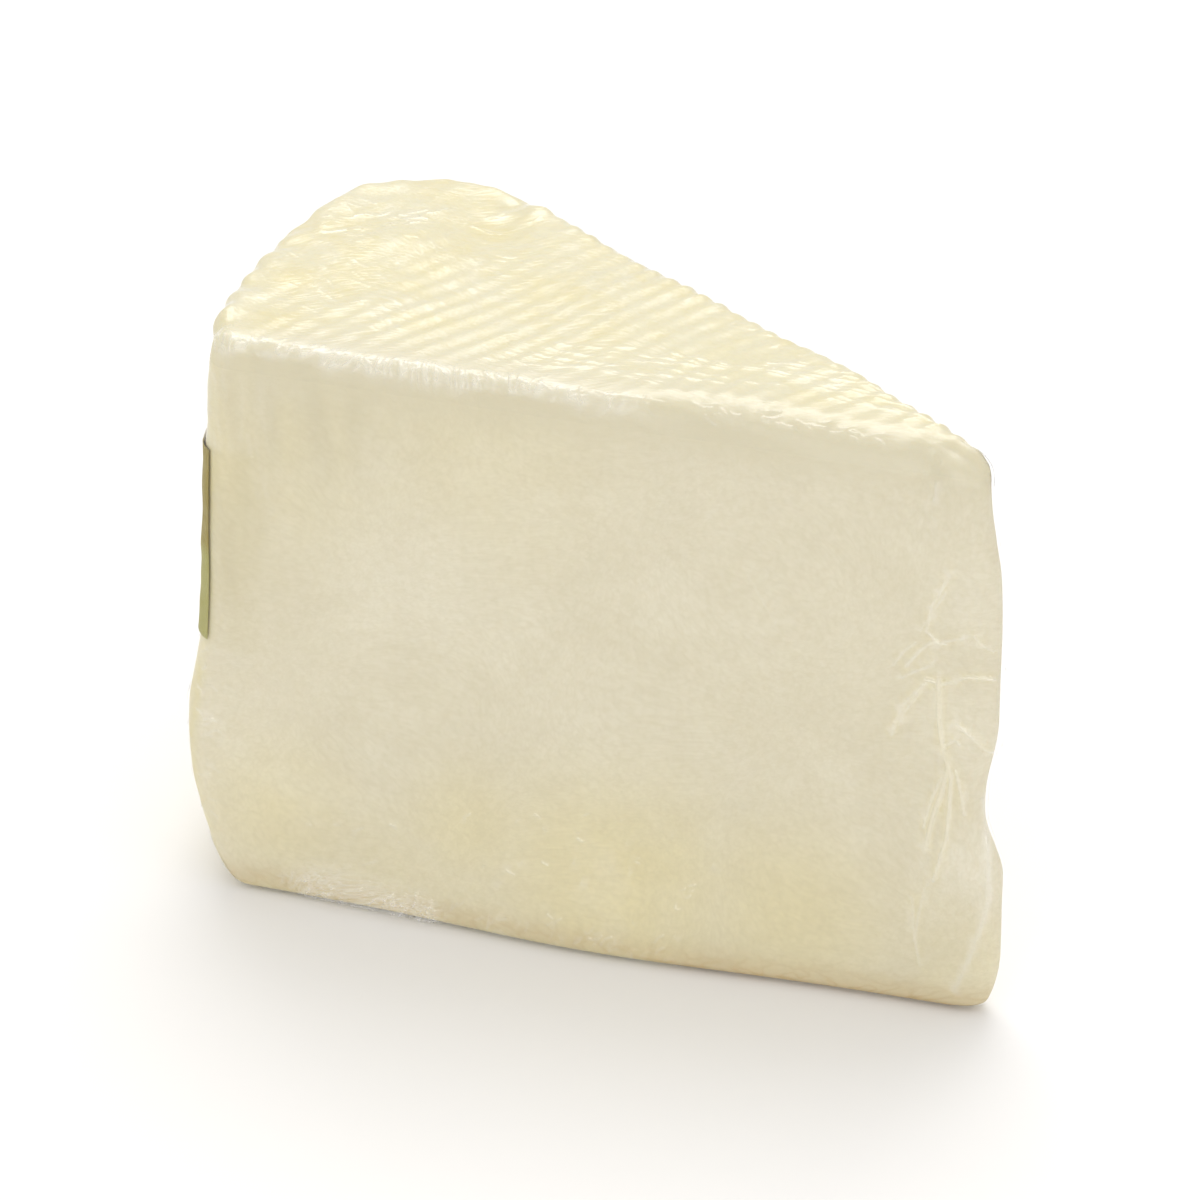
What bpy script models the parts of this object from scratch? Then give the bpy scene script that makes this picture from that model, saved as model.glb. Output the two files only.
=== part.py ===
"""Wedge of triple cream cheese, wrapped tightly in clear film, with a label on its rind.

The wedge is one cut of a round cheese 75 mm tall. It stands on its lower rind with its point
towards +X, one cut face towards -Y, the other towards +Y and the curved rind towards -X.
The origin is the middle of its footprint's box, on the surface it stands on. Units are metres.
"""
import math

import bmesh
import bpy
import numpy as np

MM = 0.001

# Wedge
HEIGHT = 75.4 * MM
HALF_ANGLE = math.radians(15.5)
POINT_X = 53.69 * MM            # where the two cut faces would meet
POINT_Y = 1.253 * MM
POINT_TO_RIND = 100.0 * MM
RIND_RADIUS = 60.0 * MM         # the rind has sagged to a tighter arc than the whole cheese's
RIND_SHIFT_Y = 1.0 * MM

# Rounded edges
POINT_ROUND = 5.0 * MM
FRONT_CORNER_ROUND = 3.2 * MM
BACK_CORNER_ROUND = 15.0 * MM
CUT_FOOT_ROUND = 1.5 * MM
RIND_FOOT_ROUND = 12.0 * MM
TOP_ROUND = 2.2 * MM
SLUMPED_TOP_ROUND = 4.6 * MM    # front top edge, from its middle to the point

# Swelling and sinking of the soft sides
UPPER_RIND_SWELL = 1.5 * MM
LOWER_RIND_SWELL = 4.3 * MM
UPPER_POINT_SWELL = 1.5 * MM
LOWER_POINT_SWELL = 2.6 * MM
POINT_LEAN = 0.75 * MM          # the point reaches this much further below its top
FRONT_FOOT_SWELL = 2.2 * MM
POINT_DROP = 0.8 * MM           # the top falls this much towards the point

# Ridges that the drying mat leaves on the rind
RIDGE_ANGLE = math.radians(72.0)
RIDGE_PITCH = 2.7 * MM
RIDGE_DEPTH = 0.42 * MM
RIDGE_WANDER = 0.5 * MM
SMOOTH_BAND = 7.0 * MM          # the stretched film flattens the ridges beside the front cut face

# Label on the rind, from just round the front corner
LABEL_BOTTOM = 34.5 * MM
LABEL_TOP = 60.0 * MM
LABEL_WIDTH = 38.0 * MM
LABEL_START = 2.6 * MM          # from the front corner's silhouette on to the cut face's side
LABEL_GAP = 0.3 * MM
LABEL_THICKNESS = 0.35 * MM

# Mesh
WEDGE_CELLS = (150, 66, 108)
LABEL_CELLS = (26, 1, 8)
CAGE_CLEARANCE = 2.5 * MM
WEDGE_TRIANGLES = 7000
PULL_STEPS = 24

# Heights at which the point's two swellings and its lean begin, are full, fade and end, in mm
UPPER_SWELL_HEIGHTS = (29.0, 40.0, 52.0, 78.0)
LOWER_SWELL_HEIGHTS = (-8.0, 9.0, 19.0, 27.5)
LEAN_HEIGHTS = (-2.0, 5.0, 57.0, 68.0)

# Lumps in the top, and folds of the film
TOP_LUMPS_MM = (
    # x, y along the top, radius, height
    (-47.0, 7.5, 4.0, 1.0),
    (-27.5, 21.5, 2.2, -0.9),
    (-24.5, 21.0, 2.0, 0.5),
    (-26.5, 14.5, 5.5, -0.8),
    (-33.0, 6.0, 6.0, 0.5),
    (-40.0, -8.0, 5.0, 0.4),
    (20.0, -6.5, 9.0, 0.9),
    (26.0, 9.5, 9.0, 0.8),
    (39.0, 4.5, 5.0, 0.4),
    (-9.0, 17.0, 7.0, -0.45),
)
FOLDS_MM = (
    # half width, height, points that the fold runs through
    (0.9, -0.7, ((41.8, -2.6, 75.0), (41.4, -2.3, 70.0), (41.2, -2.2, 64.0))),
    (0.8, 0.6, ((42.4, -2.2, 45.0), (42.9, -2.2, 35.0), (43.9, -2.0, 26.0), (43.9, -1.8, 18.0))),
    (0.7, 0.4, ((50.4, -1.6, 21.0), (50.2, -1.6, 14.0), (49.0, -2.2, 6.0))),
    (2.6, 0.9, ((-28.0, -22.0, 2.4), (-22.0, -20.5, 1.8), (-15.5, -18.5, 1.4))),
)


def smoothstep(start, end, value):
    """0 before start, 1 after end and a soft step between them."""
    t = np.clip((value - start) / (end - start), 0.0, 1.0)
    return t * t * (3.0 - 2.0 * t)


def bell(value, centre, width):
    """1 at the centre, falling off softly over the width."""
    return np.exp(-((value - centre) / width) ** 2)


def round_min(a, b, radius):
    """Depth inside two walls at once, with their shared edge rounded."""
    curved = radius - np.hypot(np.maximum(radius - a, 0.0), np.maximum(radius - b, 0.0))
    return np.where((a < radius) & (b < radius), curved, np.minimum(a, b))


def rind_swell(z):
    """How far the rind bulges out at a height."""
    upper = UPPER_RIND_SWELL * bell(z, 48.0 * MM, 20.0 * MM)
    return upper + LOWER_RIND_SWELL * bell(z, 18.5 * MM, 15.5 * MM)


def plateau(z, heights):
    """1 between the middle two heights, falling softly to 0 at the outer two."""
    low, full, fading, gone = (height * MM for height in heights)
    return smoothstep(low, full, z) * (1.0 - smoothstep(fading, gone, z))


def point_swell(z):
    """How far the wedge's point bulges out at a height."""
    upper = UPPER_POINT_SWELL * plateau(z, UPPER_SWELL_HEIGHTS)
    lower = LOWER_POINT_SWELL * plateau(z, LOWER_SWELL_HEIGHTS)
    return upper + lower + POINT_LEAN * plateau(z, LEAN_HEIGHTS)


def walls(points):
    """Depth behind each wall of the wedge, before its edges are rounded."""
    x = points[:, 0] - POINT_X
    y = points[:, 1] - POINT_Y
    z = points[:, 2]
    sine, cosine = math.sin(HALF_ANGLE), math.cos(HALF_ANGLE)
    pushed = x - point_swell(z) * smoothstep(-45.0 * MM, -8.0 * MM, x)
    front_foot = bell(points[:, 0], 5.0 * MM, 22.0 * MM) * bell(z, 3.0 * MM, 8.0 * MM)
    front = y * cosine - pushed * sine + FRONT_FOOT_SWELL * front_foot
    back = -y * cosine - pushed * sine
    rind_centre = RIND_RADIUS - POINT_TO_RIND
    rind = RIND_RADIUS + rind_swell(z) - np.hypot(x - rind_centre, y - RIND_SHIFT_Y)
    return front, back, rind


def depth_inside(points):
    """Depth of each point inside the rounded wedge, negative outside it."""
    front, back, rind = walls(points)
    x, y, z = points.T
    corner = FRONT_CORNER_ROUND + (BACK_CORNER_ROUND - FRONT_CORNER_ROUND) * smoothstep(-8.0 * MM, 8.0 * MM, y)
    plan = round_min(front, back, POINT_ROUND)
    sides = round_min(plan, rind, corner)
    near_rind = smoothstep(-4.0 * MM, 7.0 * MM, plan - rind)
    foot = CUT_FOOT_ROUND + (RIND_FOOT_ROUND - CUT_FOOT_ROUND) * near_rind
    slumped = smoothstep(5.0 * MM, 14.0 * MM, x) * (1.0 - smoothstep(-1.0 * MM, 3.0 * MM, front - back))
    shoulder = TOP_ROUND + (SLUMPED_TOP_ROUND - TOP_ROUND) * slumped
    top = HEIGHT - POINT_DROP * smoothstep(0.0, 50.0 * MM, x) - z
    return round_min(round_min(sides, z, foot), top, shoulder)


def slope_of_depth(points):
    """The direction in which the depth grows, and how fast."""
    step = 0.01 * MM
    slope = np.empty_like(points)
    for axis in range(3):
        move = np.zeros(3)
        move[axis] = step
        slope[:, axis] = (depth_inside(points + move) - depth_inside(points - move)) / (2.0 * step)
    return slope


def pull_to_depth(points, depth):
    """Move points along the slope until they lie at a depth; negative depths are outside."""
    for _ in range(PULL_STEPS):
        slope = slope_of_depth(points)
        steepness = np.maximum((slope ** 2).sum(axis=1), 0.05)
        move = np.clip((depth - depth_inside(points)) / steepness, -2.0 * MM, 2.0 * MM)
        points = points + slope * move[:, None]
    return points


def distance_to_path(points, path):
    """Distance from each point to a path of straight runs."""
    nearest = np.full(len(points), np.inf)
    for start, end in zip(path[:-1], path[1:]):
        run = end - start
        along = np.clip((points - start) @ run / (run @ run), 0.0, 1.0)
        away = points - start - along[:, None] * run
        nearest = np.minimum(nearest, np.sqrt((away ** 2).sum(axis=1)))
    return nearest


def mat_ridges(points):
    """Height of the mat's ridges, which wander a little and fade in patches."""
    x, y = points[:, 0], points[:, 1]
    across = x * math.sin(RIDGE_ANGLE) - y * math.cos(RIDGE_ANGLE)
    across = across + RIDGE_WANDER * np.sin(x / (11.0 * MM) + y / (6.0 * MM))
    patches = 0.7 + 0.3 * np.sin(x / (6.0 * MM) + 1.0) * np.sin(y / (5.0 * MM) - 0.6)
    behind_edge = 0.35 + 0.65 * smoothstep(0.0, SMOOTH_BAND, walls(points)[0])
    return -0.5 * RIDGE_DEPTH * np.cos(2.0 * math.pi * across / RIDGE_PITCH) * patches * behind_edge


def relief(points, normals):
    """Height of the mat's ridges, the lumps and the film's folds over the smooth wedge."""
    facing_up = smoothstep(0.25, 0.8, normals[:, 2])
    height = mat_ridges(points) * facing_up
    for x, y, radius, lump in TOP_LUMPS_MM:
        away = np.hypot(points[:, 0] - x * MM, points[:, 1] - y * MM)
        height += lump * MM * bell(away, 0.0, radius * MM) * facing_up
    for half_width, fold, path in FOLDS_MM:
        away = distance_to_path(points, np.array(path) * MM)
        height += fold * MM * bell(away, 0.0, half_width * MM)
    off_the_floor = smoothstep(0.3, 0.9, 1.0 + normals[:, 2])
    return height * off_the_floor


def gridded_cube(cells):
    """A cube from -1 to 1 whose edges are cut into a number of cells along each axis."""
    mesh = bmesh.new()
    bmesh.ops.create_cube(mesh, size=2.0)
    for axis, count in enumerate(cells):
        along = [edge for edge in mesh.edges
                 if abs(edge.verts[0].co[axis] - edge.verts[1].co[axis]) > 1.0]
        if count > 1:
            bmesh.ops.subdivide_edges(mesh, edges=along, cuts=count - 1, use_grid_fill=True)
    return mesh


def vertex_array(mesh):
    """The mesh's vertices as rows of numbers."""
    return np.array([vertex.co[:] for vertex in mesh.verts])


def set_vertices(mesh, points):
    """Put the mesh's vertices at these points."""
    for vertex, point in zip(mesh.verts, points):
        vertex.co = point


def sharp_wedge(cube):
    """The cube's points on a cage with straight walls, just outside the rounded wedge."""
    toward_rind = 0.5 * (1.0 - cube[:, 0])
    spread = math.tan(HALF_ANGLE) * cube[:, 1]
    reach = POINT_TO_RIND / np.sqrt(1.0 + spread ** 2) + CAGE_CLEARANCE
    back = CAGE_CLEARANCE + (reach - CAGE_CLEARANCE) * toward_rind
    sideways = back * spread + CAGE_CLEARANCE * cube[:, 1]
    height = 0.5 * HEIGHT + (0.5 * HEIGHT + CAGE_CLEARANCE) * cube[:, 2]
    return np.column_stack((POINT_X - back, POINT_Y + sideways, height))


def rind_contour(height):
    """Points along the wedge's outline at a height, from the front cut face round the rind."""
    middle = np.array([POINT_X - 84.0 * MM, POINT_Y, height])
    turns = np.radians(np.linspace(-75.0, -268.0, 400))
    rays = np.column_stack((np.cos(turns), np.sin(turns), np.zeros_like(turns)))
    contour = pull_to_depth(middle + rays * 34.0 * MM, 0.0)
    contour[:, 2] = height
    return contour


def label_points(cube):
    """The cube's points on a thin sheet that follows the rind."""
    contour = rind_contour(0.5 * (LABEL_BOTTOM + LABEL_TOP))
    lengths = np.concatenate(([0.0], np.cumsum(np.linalg.norm(np.diff(contour, axis=0), axis=1))))
    corner = lengths[np.argmin(contour[:, 0] * 0.848 + contour[:, 1] * 0.53)]
    start = corner - LABEL_START
    along = start + LABEL_WIDTH * 0.5 * (cube[:, 0] + 1.0)
    x = np.interp(along, lengths, contour[:, 0])
    y = np.interp(along, lengths, contour[:, 1])
    z = LABEL_BOTTOM + (LABEL_TOP - LABEL_BOTTOM) * 0.5 * (cube[:, 2] + 1.0)
    depth = -LABEL_GAP - LABEL_THICKNESS * 0.5 * (1.0 + cube[:, 1])
    points = pull_to_depth(np.column_stack((x, y, z)), depth)
    points[:, 2] = z
    return points


def plain_material(name, colour, roughness):
    """A material with one colour and roughness."""
    material = bpy.data.materials.new(name)
    material.use_nodes = True
    shader = material.node_tree.nodes["Principled BSDF"]
    shader.inputs["Base Color"].default_value = (*colour, 1.0)
    shader.inputs["Roughness"].default_value = roughness
    shader.inputs["Metallic"].default_value = 0.0
    return material


def new_object(name, mesh, material, collection):
    """An object of this mesh, with its material, in the collection."""
    data = bpy.data.meshes.new(name)
    mesh.to_mesh(data)
    mesh.free()
    data.materials.append(material)
    data.shade_smooth()
    piece = bpy.data.objects.new(name, data)
    collection.objects.link(piece)
    return piece


def thin_out(piece, triangles):
    """Keep only the triangles that the shape needs, and its foot flat."""
    fewer = piece.modifiers.new("Fewer triangles", "DECIMATE")
    fewer.decimate_type = "COLLAPSE"
    fewer.ratio = triangles / (2.0 * len(piece.data.polygons))
    evaluated = piece.evaluated_get(bpy.context.evaluated_depsgraph_get())
    dense = piece.data
    piece.data = bpy.data.meshes.new_from_object(evaluated)
    piece.modifiers.clear()
    bpy.data.meshes.remove(dense)
    for vertex in piece.data.vertices:
        if vertex.co.z < 0.04 * MM:
            vertex.co.z = 0.0


def build_wedge(collection):
    """The cheese and the film that is stretched over it, as one solid."""
    mesh = gridded_cube(WEDGE_CELLS)
    points = pull_to_depth(sharp_wedge(vertex_array(mesh)), 0.0)
    slope = slope_of_depth(points)
    normals = -slope / np.linalg.norm(slope, axis=1)[:, None]
    set_vertices(mesh, points + normals * relief(points, normals)[:, None])
    cream = plain_material("wrapped_cheese", (0.80, 0.72, 0.52), 0.3)
    wedge = new_object("wrapped_wedge", mesh, cream, collection)
    thin_out(wedge, WEDGE_TRIANGLES)
    return wedge


def build_label(collection):
    """The paper label that follows the rind under the film's fold."""
    mesh = gridded_cube(LABEL_CELLS)
    set_vertices(mesh, label_points(vertex_array(mesh)))
    paper = plain_material("label_paper", (0.33, 0.33, 0.20), 0.6)
    return new_object("rind_label", mesh, paper, collection)


def main():
    """Clear the scene and build the wedge and its label."""
    for old in list(bpy.data.objects):
        bpy.data.objects.remove(old, do_unlink=True)
    collection = bpy.data.collections.new("cheese_wedge")
    bpy.context.scene.collection.children.link(collection)
    build_wedge(collection)
    build_label(collection)


if __name__ == "__main__":
    main()
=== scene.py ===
"""Looks of a triple cream cheese wedge that is wrapped tightly in clear film.

The pieces are the cheese with its pale ridged rind, the film stretched over it and the label on
the rind. Units are metres; tables whose names end in MM hold millimetres.
"""
import math

import bmesh
import bpy
import numpy as np
from bpy.props import FloatProperty, FloatVectorProperty, PointerProperty
from bpy.types import Operator, Panel, PropertyGroup
from mathutils import Matrix, Vector, noise


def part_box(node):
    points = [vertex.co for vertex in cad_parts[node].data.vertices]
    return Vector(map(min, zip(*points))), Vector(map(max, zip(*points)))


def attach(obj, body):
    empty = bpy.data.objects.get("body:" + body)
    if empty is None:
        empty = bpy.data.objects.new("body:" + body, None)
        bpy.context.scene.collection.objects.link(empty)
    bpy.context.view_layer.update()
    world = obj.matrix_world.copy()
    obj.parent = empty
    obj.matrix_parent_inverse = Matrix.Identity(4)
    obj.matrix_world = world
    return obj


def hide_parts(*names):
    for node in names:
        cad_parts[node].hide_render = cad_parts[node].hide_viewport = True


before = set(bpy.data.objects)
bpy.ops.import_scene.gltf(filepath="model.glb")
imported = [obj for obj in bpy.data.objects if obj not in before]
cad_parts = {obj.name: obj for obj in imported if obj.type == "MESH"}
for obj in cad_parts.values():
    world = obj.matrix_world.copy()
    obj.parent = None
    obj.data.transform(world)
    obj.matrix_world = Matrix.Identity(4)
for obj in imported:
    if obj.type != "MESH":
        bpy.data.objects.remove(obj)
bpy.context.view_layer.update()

bl_info = {
    "name": "Wrapped cheese wedge",
    "version": (1, 0, 0),
    "blender": (4, 5, 0),
    "location": "3D View > Sidebar > Cheese",
    "description": "Builds a wedge of soft cheese in clear film",
    "category": "Add Mesh",
}

MM = 0.001
ROOT = "root"

# How deep inside the wedge's solid the film lies, and the label's two sides, which lie outside it
FILM_DEPTH = 0.1 * MM
LABEL_OUTER_DEPTH = -0.12 * MM
LABEL_INNER_DEPTH = -0.02 * MM

# Cells of each first mesh along the wedge's length, width and height
CHEESE_CELLS = (116, 54, 84)
FILM_CELLS = (96, 46, 70)
LABEL_CELLS = (56, 1, 38)

# Round its folds the film's mesh is cut finer: how near, and the longest edge left, in mm
FINE_CUTS_MM = ((0.9, 0.55), (0.7, 0.4), (0.45, 0.25))

# How far from a fold its height is worked out, for small folds, the loose pocket and the cheese
FOLD_REACH = 1.5 * MM
POCKET_REACH = 8.0 * MM
CHEESE_FOLD_REACH = 4.0 * MM

# The point's folds stand this much higher than their table says, and are wider in the cheese
FOLD_RAISE = 1.4
CHEESE_FOLD_WIDENING = 2.4

# How far the film stands out over the label, and where it laps over the point
LABEL_BULGE = 0.32 * MM
LAP_BULGE = 0.45 * MM

# The way the front face runs, and the way the rind's fibres run, as turns of a pattern
FRONT_FACE_TURN = (0.0, 0.0, math.radians(-15.5))
FIBRE_TURN = (0.0, 0.0, math.radians(20.0))

# The camera: where it stands round the wedge, how far off, and its lens
CAMERA_AZIMUTH = math.radians(31.99)
CAMERA_ELEVATION = math.radians(32.18)
CAMERA_DISTANCE = 900.0 * MM
CAMERA_LENS_MM = 232.83

# Soft lights: name, place, side and power
LIGHTS = (
    ("overhead_softbox", (-0.25, 0.45, 1.1), 0.8, 6.4),
    ("front_fill", (0.45, -1.0, 0.35), 0.9, 2.6),
)

# Where the two cut faces would meet, seen from above
POINT_X = 53.69 * MM
POINT_Y = 1.253 * MM

# Lumps in the top: x, y, radius and height in mm
TOP_LUMPS_MM = (
    (-47.0, 7.5, 4.0, 1.0),
    (-27.5, 21.5, 2.2, -0.9),
    (-24.5, 21.0, 2.0, 0.5),
    (-26.5, 14.5, 5.5, -0.8),
    (-33.0, 6.0, 6.0, 0.5),
    (-40.0, -8.0, 5.0, 0.4),
    (20.0, -6.5, 9.0, 0.9),
    (26.0, 9.5, 9.0, 0.8),
    (39.0, 4.5, 5.0, 0.4),
    (-9.0, 17.0, 7.0, -0.45),
)

# Heights at which the point's two swellings and its lean begin, are full, fade and end
UPPER_SWELL_MM = (29.0, 40.0, 52.0, 78.0)
LOWER_SWELL_MM = (-8.0, 9.0, 19.0, 27.5)
LEAN_MM = (-2.0, 5.0, 57.0, 68.0)

# Folds of the film round the point: half width, height and the points each runs through, in mm
POINT_FOLDS_MM = (
    (0.9, -0.5, ((42.0, -2.4, 75.2), (41.5, -2.2, 70.0), (41.2, -2.2, 66.0))),
    (0.25, 0.15, ((43.0, -2.2, 75.0), (42.6, -2.0, 71.0), (42.4, -2.0, 68.5))),
    (0.26, 0.42, ((43.8, -1.9, 45.5), (43.9, -1.9, 40.5), (44.3, -1.7, 37.0), (45.3, -1.2, 32.5))),
    (0.22, 0.32, ((45.3, -1.2, 32.5), (45.1, -1.1, 27.5), (45.0, -1.3, 24.0), (43.9, -2.1, 18.3))),
    (0.26, 0.38, ((45.0, -1.4, 34.0), (44.2, -1.4, 30.0), (43.3, -1.6, 26.6), (42.7, -1.8, 22.5))),
    (0.2, 0.26, ((44.2, -1.4, 32.0), (43.0, -1.7, 28.5), (42.3, -1.9, 25.0))),
    (0.2, 0.2, ((45.8, -1.0, 33.5), (46.6, -0.9, 29.5), (47.0, -0.9, 27.0))),
    (0.24, 0.28, ((42.3, -2.3, 44.7), (39.9, -3.0, 41.4), (38.5, -3.3, 37.0))),
    (0.2, 0.18, ((41.6, -2.5, 43.2), (40.0, -3.0, 40.5), (39.4, -3.1, 38.5))),
    (0.2, 0.2, ((40.0, -2.9, 46.5), (41.6, -2.5, 49.0), (43.0, -2.1, 50.4), (44.4, -1.7, 50.3))),
    (0.18, 0.16, ((39.5, -3.1, 44.8), (41.0, -2.7, 46.0), (42.6, -2.2, 47.0), (43.5, -2.0, 48.2))),
    (0.18, 0.14, ((38.6, -3.3, 46.4), (39.8, -2.9, 48.6), (41.0, -2.6, 49.8))),
    (0.2, 0.2, ((44.8, -1.5, 60.0), (43.9, -1.8, 57.7), (42.8, -2.2, 55.0), (42.2, -2.3, 51.6))),
    (0.16, 0.14, ((44.2, -1.7, 57.0), (42.6, -2.2, 53.8), (41.5, -2.5, 51.5))),
    (0.2, 0.25, ((42.3, -2.4, 45.2), (44.4, -1.8, 45.0), (47.0, -1.0, 46.5), (49.5, 0.3, 46.4))),
    (0.22, 0.2, ((45.8, -1.3, 40.0), (47.6, -0.7, 38.6), (49.1, 0.6, 36.4))),
    (0.16, 0.2, ((44.5, -1.6, 36.5), (45.8, -1.3, 37.8), (46.3, -1.1, 37.2))),
    (0.2, 0.18, ((47.5, -0.8, 52.0), (48.3, -0.4, 50.8), (49.4, 0.4, 50.0))),
    (0.18, 0.16, ((42.2, -2.3, 51.6), (43.6, -1.9, 50.3), (46.6, -1.1, 51.6))),
    (0.2, 0.14, ((41.4, -2.4, 15.5), (41.7, -2.3, 11.0), (42.5, -2.1, 6.0))),
    (0.2, 0.14, ((42.8, -2.0, 17.0), (42.2, -2.2, 13.0), (41.8, -2.3, 9.5))),
    (0.14, 0.06, ((21.3, -7.7, 56.2), (23.8, -7.0, 51.6), (26.1, -6.4, 47.3))),
)

# The ones that the back of the point has too
BACK_FOLDS_MM = POINT_FOLDS_MM[2:15:2]

# The film's overlapping end beside the point's notch, as a step: half width, height and path
FLAP_EDGE_MM = (0.35, 0.28, ((48.3, 0.6, 30.0), (49.0, 0.7, 25.0), (49.8, 0.0, 20.0), (50.0, -0.1, 16.5),
                             (49.2, -0.6, 12.2), (48.0, -1.0, 7.7), (46.6, -1.4, 3.5)))

# The loose film under the front face's foot
FOOT_FOLDS_MM = (
    (2.6, 0.9, ((-28.0, -22.0, 2.4), (-22.0, -20.5, 1.8), (-15.5, -18.5, 1.4))),
)

# Fields of small folds: how many, corner of the field, its two sides, the way the folds run,
# how far they lean, how much they bend, and their shortest and longest length, half width and height
FOLD_FIELDS_MM = (
    # the crumpled band along the top's front edge
    (80, (-42.4, -25.2, 76.2), (53.0, 14.7, 0.0), (-0.5, 1.8, 0.0), (0.1, -0.8, -0.6),
     1.3, 0.6, (1.2, 3.6), (0.12, 0.2), (0.05, 0.13)),
    (50, (-42.4, -24.6, 76.2), (53.0, 14.7, 0.0), (-0.3, 1.2, -1.6), (0.96, 0.27, 0.0),
     0.9, 0.7, (0.9, 2.4), (0.12, 0.18), (0.05, 0.12)),
    # long thin folds in the top, beside its front edge
    (46, (-12.0, -12.5, 75.4), (48.0, 16.5, 0.0), (-1.5, 6.5, 0.0), (0.96, 0.3, 0.0),
     0.16, 0.1, (4.0, 11.0), (0.13, 0.2), (0.04, 0.1)),
    # short folds over the top near the rind
    (110, (-44.0, -15.0, 75.4), (24.0, 3.0, 0.0), (0.0, 27.0, 0.0), (0.9, -0.3, 0.0),
     0.6, 0.4, (0.8, 3.0), (0.11, 0.15), (0.03, 0.08)),
    # folds at the top's far rim
    (26, (-45.0, 5.0, 75.4), (20.0, 15.5, 0.0), (2.5, -3.0, 0.0), (0.85, 0.5, 0.0),
     0.5, 0.4, (1.2, 3.2), (0.13, 0.2), (0.06, 0.15)),
    # bright folds where the edge starts to sag, and two more towards the point
    (18, (14.5, -9.6, 75.4), (10.5, 3.0, 0.0), (-0.6, 2.4, 0.0), (0.9, -0.1, 0.0),
     0.7, 0.5, (0.9, 2.4), (0.13, 0.19), (0.08, 0.18)),
    (12, (25.5, -5.6, 75.2), (10.0, 3.0, 0.0), (-0.3, 1.4, 0.0), (0.95, 0.1, 0.0),
     0.5, 0.4, (0.9, 2.2), (0.13, 0.19), (0.07, 0.15)),
    # short folds along the top's back edge
    (22, (0.0, 14.0, 75.4), (44.0, -12.5, 0.0), (-0.6, -3.0, 0.0), (0.8, 0.5, 0.0),
     0.6, 0.4, (0.9, 2.4), (0.12, 0.17), (0.04, 0.1)),
    # tiny bright creases low on the front face
    (30, (-12.0, -17.0, 4.0), (30.0, 8.3, 0.0), (0.0, 0.0, 15.0), (0.96, 0.27, 0.0),
     0.8, 0.2, (0.35, 1.2), (0.12, 0.15), (0.12, 0.2)),
    (10, (-31.0, -22.4, 6.0), (14.0, 3.9, 0.0), (0.0, 0.0, 8.0), (0.96, 0.27, 0.0),
     0.8, 0.2, (0.35, 1.0), (0.12, 0.15), (0.12, 0.2)),
    # crumpled film low at the front corner and along the foot
    (16, (-42.8, -24.0, 10.0), (1.8, -0.4, 0.0), (0.0, 0.0, 23.0), (0.95, 0.2, 0.1),
     0.8, 0.5, (0.6, 2.0), (0.12, 0.18), (0.08, 0.2)),
    (64, (-34.0, -23.4, 0.6), (48.0, 13.3, 0.0), (0.0, 0.0, 3.2), (0.7, 0.2, 0.5),
     0.9, 0.5, (0.7, 2.0), (0.12, 0.18), (0.08, 0.2)),
    # pleats down the rind, crumpled film at the back's top edge and at its foot
    (26, (-43.0, -24.0, 72.0), (0.0, 46.0, 0.0), (0.0, 0.0, -52.0), (0.0, 0.1, -1.0),
     0.25, 0.12, (4.0, 13.0), (0.18, 0.32), (0.08, 0.2)),
    (40, (-32.0, 24.0, 76.0), (74.0, -20.5, 0.0), (0.0, 0.0, -2.0), (0.5, 0.3, -0.8),
     1.2, 0.6, (0.9, 2.6), (0.12, 0.2), (0.06, 0.14)),
    (24, (-30.0, 24.0, 0.8), (70.0, -19.4, 0.0), (0.0, 0.0, 3.0), (0.7, -0.2, 0.5),
     0.9, 0.5, (0.9, 2.2), (0.12, 0.18), (0.08, 0.18)),
    # long faint folds down the front face beside the rind
    (9, (-41.0, -24.3, 60.0), (7.5, 2.1, 0.0), (0.0, 0.0, 12.0), (0.06, 0.0, -1.0),
     0.12, 0.05, (6.0, 13.0), (0.2, 0.35), (0.03, 0.07)),
)

# Where the paste is yellower: centre, radius and share
YELLOW_TONE_PLACES_MM = (
    ((7.0, -12.0, 10.0), 24.0, 0.95),
    ((27.0, -6.5, 10.0), 20.0, 0.7),
    ((-10.0, -16.0, 14.0), 14.0, 0.6),
    ((-33.0, -22.0, 12.0), 16.0, 0.6),
    ((-36.0, -23.5, 64.0), 26.0, 0.65),
    ((-10.0, -16.0, 68.0), 26.0, 0.35),
)

# Where painted shade darkens the paste: centre, radius and share
PAINTED_SHADE_PLACES_MM = (
    ((-42.0, -25.0, 50.0), 24.0, 1.0),
    ((-30.0, -21.5, 68.0), 26.0, 1.0),
    ((-8.0, -16.0, 76.0), 22.0, 0.35),
)
# Where painted light makes the paste paler, where the film lifts off it and on the point, which faces the
# light: centre, radius and share
PAINTED_LIGHT_PLACES_MM = (
    ((-17.0, -18.0, 47.0), 18.0, 0.5),
    ((4.0, -12.5, 30.0), 16.0, 0.35),
    ((47.5, -1.0, 20.0), 9.0, 0.9),
    ((47.5, -1.0, 38.0), 9.0, 0.7),
    ((47.5, -1.0, 56.0), 9.0, 0.6),
)

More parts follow.
